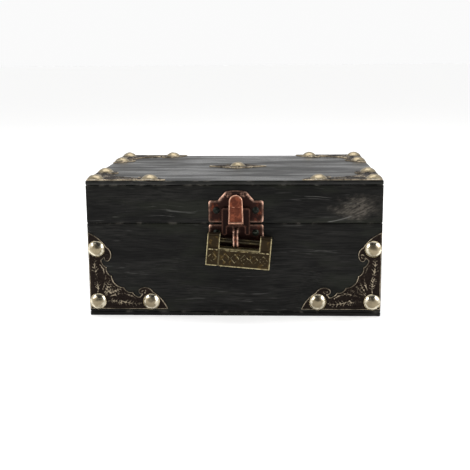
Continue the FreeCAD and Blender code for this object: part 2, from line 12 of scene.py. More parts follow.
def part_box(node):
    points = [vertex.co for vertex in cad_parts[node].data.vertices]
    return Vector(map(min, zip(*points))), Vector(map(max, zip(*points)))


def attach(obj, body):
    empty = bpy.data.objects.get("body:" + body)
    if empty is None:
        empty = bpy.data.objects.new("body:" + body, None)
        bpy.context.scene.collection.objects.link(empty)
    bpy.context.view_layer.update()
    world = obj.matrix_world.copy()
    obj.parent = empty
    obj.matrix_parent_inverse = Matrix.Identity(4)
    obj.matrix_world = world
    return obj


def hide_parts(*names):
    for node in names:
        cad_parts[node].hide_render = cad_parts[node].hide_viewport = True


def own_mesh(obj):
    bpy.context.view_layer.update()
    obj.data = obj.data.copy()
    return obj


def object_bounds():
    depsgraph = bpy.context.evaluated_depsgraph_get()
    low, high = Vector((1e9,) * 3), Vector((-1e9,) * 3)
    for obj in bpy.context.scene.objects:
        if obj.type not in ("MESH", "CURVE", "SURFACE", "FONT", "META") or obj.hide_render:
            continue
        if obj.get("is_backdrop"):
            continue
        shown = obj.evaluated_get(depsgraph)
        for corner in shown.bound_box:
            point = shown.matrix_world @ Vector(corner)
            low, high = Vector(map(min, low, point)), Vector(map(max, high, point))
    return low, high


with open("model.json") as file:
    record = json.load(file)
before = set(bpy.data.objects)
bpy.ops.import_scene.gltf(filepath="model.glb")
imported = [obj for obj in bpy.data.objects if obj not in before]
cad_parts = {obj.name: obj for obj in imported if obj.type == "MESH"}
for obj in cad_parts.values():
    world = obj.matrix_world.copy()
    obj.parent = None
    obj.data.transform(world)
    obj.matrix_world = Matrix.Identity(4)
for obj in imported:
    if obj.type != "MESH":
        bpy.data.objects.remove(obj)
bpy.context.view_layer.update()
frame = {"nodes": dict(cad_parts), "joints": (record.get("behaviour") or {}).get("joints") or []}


# ---- Studio --------------------------------------------------------------------------------------------
# A white light table under a pale surround that is bright at the sides and behind, and dim in front, so
# that the black front stays black and the polished domes show a dark middle in a bright ring.
FLOOR_HALF = 60.0
FLOOR_COLOUR = (0.88, 0.88, 0.875, 1.0)
FLOOR_GLOW = 0.41
SURROUND = (1.0, 1.0, 1.0, 1.0)
SURROUND_BRIGHT = 0.90
SURROUND_DIM = 0.035
DIM_TOWARD_FRONT = (-0.05, 0.40)
DIM_BETWEEN_SIDES = (0.86, 0.62)
BACKDROP_LEVEL = 0.96
CAMERA_PLACE = Vector((0.0250, -0.6438, 0.1712))
CAMERA_TURN = math.radians(2.45)
CAMERA_DOWN = math.radians(11.41)
CAMERA_ROLL = math.radians(0.44)
CAMERA_LENS = 65.4


def fill(tree, node, inputs):
    """Fills a node's inputs: another node's output is linked, and anything else becomes the value."""
    for key, value in inputs.items():
        if isinstance(value, bpy.types.NodeSocket):
            tree.links.new(value, node.inputs[key])
        else:
            node.inputs[key].default_value = value


def add_node(tree, kind, inputs=None, **settings):
    """Adds a shader node and fills its inputs; settings are its own properties, such as operation."""
    made = tree.nodes.new(kind)
    for key, value in settings.items():
        setattr(made, key, value)
    fill(tree, made, inputs or {})
    return made


def remap(tree, value, low, high, to_low=0.0, to_high=1.0):
    """Turns low..high into to_low..to_high with soft ends."""
    inputs = {"Value": value, "From Min": low, "From Max": high, "To Min": to_low, "To Max": to_high}
    return add_node(tree, "ShaderNodeMapRange", inputs, interpolation_type="SMOOTHSTEP").outputs[0]


def combine(tree, operation, a, b):
    """One operation on two values, either of which may be a plain number."""
    return add_node(tree, "ShaderNodeMath", {0: a, 1: b}, operation=operation).outputs[0]


def times(tree, a, b):
    """The product of two values."""
    return combine(tree, "MULTIPLY", a, b)


def put_in_scene(name, data):
    """Puts data into the scene as an object."""
    made = bpy.data.objects.new(name, data)
    bpy.context.scene.collection.objects.link(made)
    return made


def new_material(name):
    """A material and its node tree."""
    made = bpy.data.materials.new(name)
    made.use_nodes = True
    return made, made.node_tree


def soft_light(name, place, target, width, height, power):
    """A soft box that faces its target."""
    lamp = bpy.data.lights.new(name, "AREA")
    lamp.shape = "RECTANGLE"
    lamp.size = width
    lamp.size_y = height
    lamp.energy = power
    holder = put_in_scene(name, lamp)
    holder.location = place
    holder.rotation_euler = (Vector(target) - Vector(place)).to_track_quat("-Z", "Y").to_euler()


def studio_floor():
    """A wide matt floor at the level of the piece's lowest point, which glows a little."""
    mesh = bpy.data.meshes.new("studio_floor")
    side = FLOOR_HALF
    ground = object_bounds()[0][2]
    corners = [(-side, -side, ground), (side, -side, ground), (side, side, ground), (-side, side, ground)]
    mesh.from_pydata(corners, [], [(0, 1, 2, 3)])
    floor = put_in_scene("studio_floor", mesh)
    paint, tree = new_material("studio_floor_paint")
    fill(tree, tree.nodes["Principled BSDF"], {
        "Base Color": FLOOR_COLOUR, "Roughness": 0.9, "Specular IOR Level": 0.0,
        "Emission Color": SURROUND, "Emission Strength": FLOOR_GLOW})
    mesh.materials.append(paint)
    floor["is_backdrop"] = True


def studio_surround():
    """Plain white to look at. As light, it is dim in front and above the camera."""
    world = bpy.data.worlds.new("studio_surround")
    bpy.context.scene.world = world
    world.use_nodes = True
    tree = world.node_tree
    tree.nodes.clear()
    direction = add_node(tree, "ShaderNodeTexCoord").outputs["Generated"]
    split = add_node(tree, "ShaderNodeSeparateXYZ", {0: direction})
    toward_front = remap(tree, times(tree, split.outputs["Y"], -1.0), *DIM_TOWARD_FRONT)
    narrow = remap(tree, combine(tree, "ABSOLUTE", split.outputs["X"], 0.0), *DIM_BETWEEN_SIDES)
    dim = times(tree, toward_front, narrow)
    strength = remap(tree, dim, 0.0, 1.0, SURROUND_BRIGHT, SURROUND_DIM)
    lit = add_node(tree, "ShaderNodeBackground", {"Color": SURROUND, "Strength": strength})
    seen = add_node(tree, "ShaderNodeBackground", {"Color": SURROUND, "Strength": BACKDROP_LEVEL})
    to_camera = add_node(tree, "ShaderNodeLightPath").outputs["Is Camera Ray"]
    blend = add_node(tree, "ShaderNodeMixShader", {0: to_camera, 1: lit.outputs[0], 2: seen.outputs[0]})
    add_node(tree, "ShaderNodeOutputWorld", {"Surface": blend.outputs[0]})


def studio_camera():
    """The camera stands in front, a little to the right, and looks slightly down."""
    lens = bpy.data.cameras.new("camera")
    lens.lens = CAMERA_LENS
    lens.sensor_width = 36.0
    lens.clip_start = 0.01
    camera = put_in_scene("camera", lens)
    turn = Matrix.Rotation(CAMERA_TURN, 4, "Z")
    tilt = Matrix.Rotation(math.pi / 2 - CAMERA_DOWN, 4, "X")
    roll = Matrix.Rotation(-CAMERA_ROLL, 4, "Z")
    camera.matrix_world = Matrix.Translation(CAMERA_PLACE) @ turn @ tilt @ roll
    bpy.context.scene.camera = camera


studio_floor()
studio_surround()
studio_camera()
soft_light("left_light", (-0.85, -0.55, 0.60), (0, -0.05, 0.05), 0.45, 0.60, 5.0)
soft_light("right_light", (0.90, -0.40, 0.50), (0, -0.05, 0.05), 0.40, 0.60, 4.0)
soft_light("top_light", (0.0, 0.25, 1.1), (0, 0, 0.05), 0.9, 0.6, 6.0)
bpy.context.scene.view_settings.view_transform = "Standard"


# ---- Boards --------------------------------------------------------------------------------------------
# Eight 7 mm boards and two 3 mm panels of open-grained wood, glued into a box and its lid, stained black and
# rubbed to a satin. The grain runs the long way. Edges are knocked here and there and show paler wood.
MM = 0.001
BOARD_ROUND = 0.75 * MM
BOARD_CELL = 4.0 * MM
DENT_DEPTH = 0.5 * MM
STAIN_DARK = (0.0018, 0.0018, 0.0016, 1.0)
STAIN_LIGHT = (0.0205, 0.0198, 0.0175, 1.0)
STAIN_GREEN = (0.0135, 0.0155, 0.0095, 1.0)
STREAK_PALE = (0.15, 0.148, 0.138, 1.0)
WORN_WOOD = (0.17, 0.158, 0.135, 1.0)
KNOT_BROWN = (0.105, 0.092, 0.076, 1.0)
ROUGHEST = 0.46


def add_piece(name, mesh, body, slot, *nodes):
    """Puts a finished mesh into the scene on its body, in place of the CAD nodes that it stands for."""
    piece = put_in_scene(name, mesh)
    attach(piece, body)
    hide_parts(*nodes)
    return piece


def finished_mesh(bm, name, material, **values):
    """Makes the mesh, with its material and the numbers per vertex that the material reads."""
    mesh = bpy.data.meshes.new(name)
    bm.to_mesh(mesh)
    bm.free()
    for key, numbers in values.items():
        layer = mesh.attributes.new(key, "FLOAT", "POINT")
        layer.data.foreach_set("value", np.asarray(numbers, np.float32))
    mesh.materials.append(material)
    return mesh


def cut_cells(bm, cell, axes=(0, 1, 2)):
    """Cuts a mesh along a square grid, so that wear and relief have points to move."""
    points = np.array([vert.co for vert in bm.verts])
    low = Vector(points.min(axis=0))
    high = Vector(points.max(axis=0))
    for axis in axes:
        normal = Vector((axis == 0, axis == 1, axis == 2))
        count = max(1, round((high[axis] - low[axis]) / cell))
        for number in range(1, count):
            at = low + normal * ((high[axis] - low[axis]) * number / count)
            everything = bm.verts[:] + bm.edges[:] + bm.faces[:]
            bmesh.ops.bisect_plane(bm, geom=everything, plane_co=at, plane_no=normal, dist=1e-6)


def board_mesh(name, low, high, material):
    """A board with rounded edges, dented unevenly, that records how near each point is to an edge."""
    bm = bmesh.new()
    corners = [(x, y, z) for x in (low.x, high.x) for y in (low.y, high.y) for z in (low.z, high.z)]
    verts = [bm.verts.new(corner) for corner in corners]
    for face in ((0, 1, 3, 2), (4, 6, 7, 5), (0, 4, 5, 1), (2, 3, 7, 6), (0, 2, 6, 4), (1, 5, 7, 3)):
        bm.faces.new([verts[i] for i in face])
    bmesh.ops.recalc_face_normals(bm, faces=bm.faces[:])
    bmesh.ops.bevel(bm, geom=bm.edges[:], offset=BOARD_ROUND, segments=3, affect="EDGES", profile=0.5)
    cut_cells(bm, BOARD_CELL)
    middle = (low + high) / 2
    near_edge = []
    for vert in bm.verts:
        reach = [min(vert.co[i] - low[i], high[i] - vert.co[i]) for i in range(3)]
        edge = max(0.0, 1.0 - sorted(reach)[1] / (BOARD_ROUND * 1.05))
        near_edge.append(edge)
        dent = max(0.0, noise.noise(vert.co * 90) + 0.35 * noise.noise(vert.co * 420) - 0.12)
        inward = [math.copysign(reach[i] < BOARD_ROUND * 1.05, middle[i] - vert.co[i]) for i in range(3)]
        vert.co += Vector(inward) * (dent * DENT_DEPTH * edge)
    for face in bm.faces:
        face.smooth = True
    return finished_mesh(bm, name, material, edge=near_edge)


def group_sockets(group, takes, gives):
    """Gives a node group its named inputs and outputs."""
    for name, kind in takes:
        group.interface.new_socket(name=name, in_out="INPUT", socket_type="NodeSocket" + kind)
    for name, kind in gives:
        group.interface.new_socket(name=name, in_out="OUTPUT", socket_type="NodeSocket" + kind)
    return add_node(group, "NodeGroupInput"), add_node(group, "NodeGroupOutput")


def stretched_noise(tree, vector, stretch, detail, roughness, offset=0.0):
    """Noise whose features are about 1 / stretch metres long on each axis."""
    shift = (offset, offset * 0.7, offset * 1.3)
    scaled = add_node(tree, "ShaderNodeMapping", {"Vector": vector, "Scale": stretch, "Location": shift})
    inputs = {"Vector": scaled.outputs[0], "Scale": 1.0, "Detail": detail, "Roughness": roughness}
    return add_node(tree, "ShaderNodeTexNoise", inputs).outputs["Fac"]


def mix_colour(tree, amount, a, b):
    """a where the amount is 0 and b where it is 1; both may be plain colours."""
    return add_node(tree, "ShaderNodeMix", {"Factor": amount, 6: a, 7: b}, data_type="RGBA").outputs[2]


def wood_grain_group():
    """Open straight grain along X: fine fibres, pale streaks, broad clouds, a green cast and dark pores."""
    group = bpy.data.node_groups.new("open_wood_grain", "ShaderNodeTree")
    gives = [(name, "Float") for name in ("Fibre", "Streak", "Cloud", "Green", "Pore")]
    source, result = group_sockets(group, [("Vector", "Vector")], gives)
    place = source.outputs["Vector"]
    waver = add_node(group, "ShaderNodeTexNoise", {"Vector": place, "Scale": 22.0, "Detail": 2.0})
    swayed = {0: waver.outputs["Color"], 1: (0.0, 0.006, 0.006), 2: place}
    along = add_node(group, "ShaderNodeVectorMath", swayed, operation="MULTIPLY_ADD").outputs[0]
    fibre = stretched_noise(group, along, (55, 1500, 1500), 5.0, 0.62)
    streak = stretched_noise(group, along, (32, 820, 820), 3.0, 0.5, 3.1)
    thin = stretched_noise(group, along, (18, 130, 130), 2.0, 0.5, 7.7)
    cloud = stretched_noise(group, along, (14, 62, 62), 4.0, 0.55, 1.3)
    green = stretched_noise(group, along, (20, 75, 75), 3.0, 0.5, 5.9)
    pore = stretched_noise(group, along, (150, 3100, 3100), 2.0, 0.5, 2.2)
    sparse = times(group, remap(group, streak, 0.60, 0.72), remap(group, thin, 0.48, 0.66))
    fill(group, result, {"Fibre": fibre, "Streak": sparse, "Cloud": cloud,
                         "Green": remap(group, green, 0.48, 0.68), "Pore": remap(group, pore, 0.36, 0.28)})
    return group


wood_grain = wood_grain_group()
KNOT_PIPS = ((-0.0053, 0.0037), (-0.0030, 0.0023))
PIP_RADIUS = 0.0007
KNOT_SQUEEZE = (0.46, 0.0, 0.88)
KNOT_REACH = (0.0215, 0.0135)
KNOT_SLANT = math.radians(24)
CURL_FROM = 0.0240
CURL_LENGTH = 0.0165
CURL_RISE = 0.0041
CURL_DROP = 0.0087


def knot_figure(tree, place, knot, colour):
    """A pale ragged patch of crossed grain, two dark pips in it, and a thin curl that leaves it."""
    away = add_node(tree, "ShaderNodeVectorMath", {0: place, 1: knot}, operation="SUBTRACT").outputs[0]
    ragged = stretched_noise(tree, place, (60, 60, 95), 5.0, 0.7, 4.4)
    squeezed = add_node(tree, "ShaderNodeVectorMath", {0: away, 1: KNOT_SQUEEZE}, operation="MULTIPLY")
    reach = add_node(tree, "ShaderNodeVectorMath", {0: squeezed.outputs[0]}, operation="LENGTH")
    bent = combine(tree, "ADD", reach.outputs["Value"], times(tree, ragged, 0.022))
    slanted = add_node(tree, "ShaderNodeMapping", {"Vector": place, "Rotation": (0.0, KNOT_SLANT, 0.0)})
    crossed = stretched_noise(tree, slanted.outputs[0], (230, 230, 1000), 4.0, 0.6, 6.1)
    patch = remap(tree, bent, *KNOT_REACH)
    figure = times(tree, patch, remap(tree, crossed, 0.30, 0.70, 0.2, 1.0))
    split = add_node(tree, "ShaderNodeSeparateXYZ", {0: away})
    figure = times(tree, figure, remap(tree, split.outputs["X"], 0.012, -0.001, 0.25, 1.0))
    colour = mix_colour(tree, figure, colour, KNOT_BROWN)
    for pip_x, pip_z in KNOT_PIPS:
        off_x = combine(tree, "SUBTRACT", split.outputs["X"], pip_x)
        off_z = combine(tree, "SUBTRACT", split.outputs["Z"], pip_z)
        square_x = times(tree, off_x, off_x)
        square_z = times(tree, off_z, off_z)
        off = combine(tree, "SQRT", combine(tree, "ADD", square_x, square_z), 0.0)
        pip = remap(tree, off, PIP_RADIUS * 1.3, PIP_RADIUS * 0.6)
        colour = mix_colour(tree, times(tree, pip, 0.7), colour, STAIN_DARK)
    along = times(tree, combine(tree, "ADD", split.outputs["X"], CURL_FROM), 1.0 / CURL_LENGTH)
    bow = times(tree, along, combine(tree, "ADD", along, 1.0))
    level = combine(tree, "SUBTRACT", times(tree, bow, CURL_RISE / 2), CURL_DROP)
    gap = combine(tree, "ABSOLUTE", combine(tree, "SUBTRACT", split.outputs["Z"], level), 0.0)
    window = times(tree, remap(tree, along, -0.05, 0.12), remap(tree, along, 1.05, 0.9))
    curl = times(tree, remap(tree, gap, 0.00055, 0.0001), window)
    return mix_colour(tree, times(tree, curl, 0.6), colour, STREAK_PALE)


def black_wood(name, turn, shift, rubbed, knot=None):
    """Black stain over open grain. turn lays the grain along the board, rubbed is how glossy and how smooth
    it was rubbed, and knot is the middle of a knot."""
    gloss, smoothest = rubbed
    stain, tree = new_material(name)
    place = add_node(tree, "ShaderNodeTexCoord").outputs["Object"]
    laid = add_node(tree, "ShaderNodeMapping", {"Vector": place, "Rotation": turn, "Location": shift})
    grain = add_node(tree, "ShaderNodeGroup", {"Vector": laid.outputs[0]}, node_tree=wood_grain).outputs
    fibre = grain["Fibre"]
    cloud = remap(tree, grain["Cloud"], 0.32, 0.68, 0.12, 1.0)
    tone = times(tree, remap(tree, fibre, 0.30, 0.74), cloud)
    colour = mix_colour(tree, tone, STAIN_DARK, STAIN_LIGHT)
    colour = mix_colour(tree, times(tree, grain["Green"], 0.5), colour, STAIN_GREEN)
    if knot is not None:
        colour = knot_figure(tree, place, knot, colour)
    colour = mix_colour(tree, times(tree, grain["Streak"], 0.4), colour, STREAK_PALE)
    edge = add_node(tree, "ShaderNodeAttribute", attribute_name="edge").outputs["Fac"]
    chips = stretched_noise(tree, place, (130, 130, 130), 4.0, 0.65, 9.3)
    worn = times(tree, edge, remap(tree, chips, 0.50, 0.68))
    colour = mix_colour(tree, times(tree, worn, 0.8), colour, WORN_WOOD)
    colour = mix_colour(tree, times(tree, grain["Pore"], 0.7), colour, STAIN_DARK)
    dull_fibre = remap(tree, fibre, 0.25, 0.75, 0.16, 0.0)
    rough = combine(tree, "ADD", dull_fibre, remap(tree, cloud, 0.0, 1.0, ROUGHEST, smoothest))
    rough = combine(tree, "ADD", rough, times(tree, worn, 0.25))
    lift = combine(tree, "SUBTRACT", fibre, grain["Pore"])
    bump = add_node(tree, "ShaderNodeBump", {"Strength": 0.5, "Distance": 0.12 * MM, "Height": lift})
    fill(tree, tree.nodes["Principled BSDF"], {
        "Base Color": colour, "Roughness": rough, "IOR": gloss, "Normal": bump.outputs["Normal"]})
    return stain


RUBBED_TOP = (1.32, 0.20)
RUBBED_SIDE = (1.22, 0.32)
ALONG_X = (0.0, 0.0, 0.0)
ALONG_Y = (0.0, 0.0, math.radians(90))
lid_low, lid_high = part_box("lid_front_board")
knot_place = (lid_high.x - 13 * MM, lid_low.y, lid_low.z + 9.6 * MM)
BOARD_GRAIN = {
    "base_front_board": (ALONG_X, (0.31, 0.0, 0.02)),
    "base_back_board": (ALONG_X, (0.85, 0.3, 0.1)),
    "base_left_board": (ALONG_Y, (1.3, 0.2, 0.4)),
    "base_right_board": (ALONG_Y, (1.9, 0.6, 0.2)),
    "base_bottom_panel": (ALONG_X, (2.3, 0.1, 0.5)),
    "lid_front_board": (ALONG_X, (2.9, 0.4, 0.3)),
    "lid_back_board": (ALONG_X, (3.4, 0.5, 0.6)),
    "lid_left_board": (ALONG_Y, (3.9, 0.8, 0.1)),
    "lid_right_board": (ALONG_Y, (4.6, 0.3, 0.7)),
    "lid_top_panel": (ALONG_X, (5.2, 0.7, 0.2)),
}
for board, (turn, shift) in BOARD_GRAIN.items():
    knot = knot_place if board == "lid_front_board" else None
    rubbed = RUBBED_TOP if board == "lid_top_panel" else RUBBED_SIDE
    board_low, board_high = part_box(board)
    stain = black_wood(board + "_stain", turn, shift, rubbed, knot)
    wood = board_mesh(board + "_wood", board_low, board_high, stain)
    add_piece(board + "_wood", wood, board.split("_")[0], "black_wood", board)


# ---- Corner plates -------------------------------------------------------------------------------------
# Two on the box's front and four on the lid: thin bronze stampings with a beaded rim, leaf scrolls and a
# hooked end, blackened in the hollows and rubbed bright on top. Each is held by three dome nails.
CORNER_LEG = 53.5
CORNER_ARCS = [((49.8, 6.4), (43.5, 12.0)), ((39.2, 15.2), (34.6, 14.2)), ((33.6, 12.0), (36.2, 10.6)),
               (None, (34.4, 8.4)), ((31.4, 9.4), (29.4, 11.8)), ((26.0, 12.2), (23.3, 15.2)),
               ((20.2, 15.9), (17.6, 17.6))]
NAIL_SEATS = [(5.3, 5.3), (42.3, 5.3), (5.3, 42.3)]
NAIL_RADIUS = 5.7
SHEET_GAUGE = 0.6
BEAD_REACH = 0.38
BEAD_HEIGHT = 0.30
SHEET_CELL = 0.42
RIM_ROWS = (0.19, 0.38, 0.57, 0.76, 1.1)
GRID_FROM = 1.4
TANGLE_PER_MM = 0.62
TANGLE_LINE = 0.16
TANGLE_HEIGHT = 0.2
RUBBED_PER_MM = 0.13
LIFT_FULL = 0.42
EDGE_FROM = 1.15
EDGE_REACH = 0.42
UNDERSIDE_EDGE = 0.35
LEAF_VEINS = 6
RIB_SIZES = (0.55, 0.35, 0.42)
VEIN_SIZES = (0.52, 0.24, 0.40)


def arc_points(start, through, end, cell):
    """Points from start to end, without start, on the arc that passes through the middle one."""
    if through is None:
        count = max(1, round(math.dist(start, end) / cell))
        return [tuple(Vector(start).lerp(Vector(end), i / count)) for i in range(1, count + 1)]
    (ax, ay), (bx, by), (cx, cy) = start, through, end
    twice = 2 * (ax * (by - cy) + bx * (cy - ay) + cx * (ay - by))
    a2, b2, c2 = ax * ax + ay * ay, bx * bx + by * by, cx * cx + cy * cy
    middle_x = (a2 * (by - cy) + b2 * (cy - ay) + c2 * (ay - by)) / twice
    middle_y = (a2 * (cx - bx) + b2 * (ax - cx) + c2 * (bx - ax)) / twice
    radius = math.hypot(ax - middle_x, ay - middle_y)
    first = math.atan2(ay - middle_y, ax - middle_x)
    turn = (math.atan2(cy - middle_y, cx - middle_x) - first) % math.tau
    between = (math.atan2(by - middle_y, bx - middle_x) - first) % math.tau
    if between > turn:
        turn -= math.tau
    count = max(2, round(abs(turn) * radius / cell))
    angles = [first + turn * i / count for i in range(1, count + 1)]
    return [(middle_x + radius * math.cos(a), middle_y + radius * math.sin(a)) for a in angles]


def run_of_arcs(start, arcs, cell):
    """Points along arcs that follow each other, each given by its middle and end."""
    points = [start]
    for through, end in arcs:
        points += arc_points(points[-1], through, end, cell)
    return points


def reach_to(points, ends):
    """How far each point is from a line of joined ends, and how far along that line its nearest place is."""
    a = ends[:-1]
    run = ends[1:] - a
    square = np.maximum((run ** 2).sum(axis=1), 1e-12)
    share = ((points[:, None] - a[None]) * run[None]).sum(axis=2) / square
    share = np.clip(share, 0, 1)
    gap = np.linalg.norm(points[:, None] - (a[None] + share[..., None] * run[None]), axis=2)
    nearest = gap.argmin(axis=1)
    row = np.arange(len(points))
    return gap[row, nearest], (nearest + share[row, nearest]) / len(a)


def lies_inside(points, ends):
    """Which points a closed line of ends goes round."""
    x, y = points[:, :1], points[:, 1:]
    ax, ay = ends[:-1, 0], ends[:-1, 1]
    bx, by = ends[1:, 0], ends[1:, 1]
    level = by - ay
    level = np.where(level == 0, 1e-12, level)
    crosses = ((ay > y) != (by > y)) & (x < (bx - ax) * (y - ay) / level + ax)
    return crosses.sum(axis=1) % 2 == 1


def carve(points, strokes):
    """The height of rounded ridges along strokes: each is its line, its width at both ends and its height."""
    height = np.zeros(len(points))
    for line, wide, narrow, tall in strokes:
        gap, along = reach_to(points, line)
        width = wide + (narrow - wide) * along
        height = np.maximum(height, tall * np.sqrt(np.clip(1 - (gap / width) ** 2, 0, 1)))
    return height


def scroll(centre, radius, turns, start):
    """A line that winds in towards its centre; turns may be negative."""
    share = np.linspace(0, 1, int(abs(turns) * 20) + 4)
    angle = start + turns * math.tau * share
    size = radius * (1 - 0.82 * share)
    return np.array(centre) + np.stack([size * np.cos(angle), size * np.sin(angle)], axis=1)


def leaf(base, tip, bend, spread):
    """A bent midrib with pairs of short veins that lean towards the tip."""
    base, tip = np.array(base), np.array(tip)
    across = np.array([base[1] - tip[1], tip[0] - base[0]])
    share = np.linspace(0, 1, 14)[:, None]
    rib = base + (tip - base) * share + across * bend * (4 * share * (1 - share))
    strokes = [(rib, *RIB_SIZES)]
    for number in range(1, LEAF_VEINS):
        at = int(1 + 12 * number / LEAF_VEINS)
        ahead = rib[at] - rib[at - 1]
        ahead = ahead / np.linalg.norm(ahead)
        side = np.array([-ahead[1], ahead[0]])
        length = spread * math.sin(math.pi * (0.22 + 0.68 * number / LEAF_VEINS))
        for way in (1, -1):
            vein_tip = rib[at] + (ahead * 0.75 + side * way) * length
            vein = np.array([rib[at], (rib[at] + vein_tip) / 2 + ahead * 0.12, vein_tip])
            strokes.append((vein, *VEIN_SIZES))
    return strokes


def mirrored(strokes):
    """The strokes of one leg, and the same on the other leg."""
    return strokes + [(line[:, ::-1], wide, narrow, tall) for line, wide, narrow, tall in strokes]


def corner_strokes():
    """The pattern of one corner plate: a fan of leaves in its middle, and two long leaves on each leg."""
    half = leaf((13.6, 8.8), (28.6, 11.2), 0.06, 1.5) + leaf((11.0, 9.6), (22.6, 14.5), 0.05, 1.9)
    half += leaf((31.4, 7.4), (24.8, 10.2), -0.12, 0.9)
    half += leaf((11.6, 5.4), (22.4, 3.9), 0.08, 2.4) + leaf((20.6, 6.2), (35.6, 4.2), -0.08, 2.4)
    half.append((scroll((36.9, 12.5), 1.7, -1.1, 0.6), 0.5, 0.4, 0.4))
    half.append((np.array([(11.6, 2.0), (18.0, 1.9), (26.0, 2.0), (35.6, 1.9)]), 0.4, 0.3, 0.25))
    half.append((np.array([(48.6, 2.1), (51.0, 1.5)]), 0.5, 0.3, 0.25))
    return mirrored(half) + leaf((9.4, 9.4), (17.0, 17.0), 0.0, 1.9)


def relief_mesh(name, outline, strokes, seats, place, axes, material):
    """A stamped sheet: beaded rim, carved strokes and flat seats for nails. axes are its u, v and outward."""
    ends = np.array(outline + outline[:1])
    rows = []
    ahead = np.roll(ends[:-1], -1, axis=0) - np.roll(ends[:-1], 1, axis=0)
    inward = np.stack([-ahead[:, 1], ahead[:, 0]], axis=1) / np.linalg.norm(ahead, axis=1)[:, None]
    for offset in RIM_ROWS:
        row = ends[:-1] + inward * offset
        rows.append(row[(reach_to(row, ends)[0] > offset * 0.93) & lies_inside(row, ends)])
    low, high = ends.min(axis=0), ends.max(axis=0)
    across = np.arange(low[0], high[0], SHEET_CELL)
    up = np.arange(low[1], high[1], SHEET_CELL * 0.87)
    grid = np.array([(x + (i % 2) * SHEET_CELL / 2, y) for i, y in enumerate(up) for x in across])
    grid = grid[lies_inside(grid, ends)]
    rows.append(grid[reach_to(grid, ends)[0] > GRID_FROM])
    spots = [Vector(point) for point in np.concatenate([ends[:-1]] + rows)]
    edges = [(i, (i + 1) % len(outline)) for i in range(len(outline))]
    spots, _, faces, _, _, _ = geometry.delaunay_2d_cdt(spots, edges, [], 1, 1e-5)
    flat = np.array([tuple(spot) for spot in spots])
    reach, _ = reach_to(flat, ends)
    bead = BEAD_HEIGHT * np.sqrt(np.clip(1 - ((reach - BEAD_REACH) / BEAD_REACH) ** 2, 0, 1))
    tangle = np.array([noise.noise(Vector((x * TANGLE_PER_MM, y * TANGLE_PER_MM, 3.3))) for x, y in flat])
    ground = TANGLE_HEIGHT * np.sqrt(np.clip(1 - (tangle / TANGLE_LINE) ** 2, 0, 1))
    pattern = np.maximum(carve(flat, strokes), ground) * np.clip((reach - 0.8) / 0.4, 0, 1)
    for seat in seats:
        away = np.linalg.norm(flat - np.array(seat), axis=1)
        pattern = pattern * np.clip((away - NAIL_RADIUS - 0.1) / 0.7, 0, 1)
        bead = bead * np.clip((away - NAIL_RADIUS - 0.05) / 0.5, 0, 1)
    raised = np.maximum(bead, pattern)
    level = place.x * 40 + place.z * 90
    spread = flat * RUBBED_PER_MM
    rubbed = np.clip(0.72 + 1.1 * np.array([noise.noise(Vector((x, y, level))) for x, y in spread]), 0.3, 1)
    u, v, out = axes
    bm = bmesh.new()
    verts = []
    for (a, b), height in zip(flat, raised):
        verts.append(bm.verts.new(place + (u * a + v * b + out * (SHEET_GAUGE + height)) * MM))
    for face in faces:
        bm.faces.new([verts[i] for i in face])
    rim_edges = [edge for edge in bm.edges if edge.is_boundary]
    skirt = bmesh.ops.extrude_edge_only(bm, edges=rim_edges)["geom"]
    under = [item for item in skirt if isinstance(item, bmesh.types.BMVert)]
    for vert in under:
        vert.co -= out * (vert.co - place).dot(out)
    bmesh.ops.holes_fill(bm, edges=[edge for edge in bm.edges if edge.is_boundary], sides=0)
    bmesh.ops.triangulate(bm, faces=[face for face in bm.faces if len(face.verts) > 4])
    bmesh.ops.recalc_face_normals(bm, faces=bm.faces[:])
    for face in bm.faces:
        face.smooth = abs(face.normal.dot(out)) > 0.3
    bm.verts.index_update()
    lift = np.zeros(len(bm.verts))
    lift[:len(raised)] = raised / LIFT_FULL * (0.5 + 0.5 * rubbed)
    edge = np.zeros(len(bm.verts))
    edge[:len(raised)] = np.clip(EDGE_FROM - reach / EDGE_REACH, 0, 1) * rubbed
    edge[len(raised):] = UNDERSIDE_EDGE
    return finished_mesh(bm, name, material, lift=lift, edge=edge)


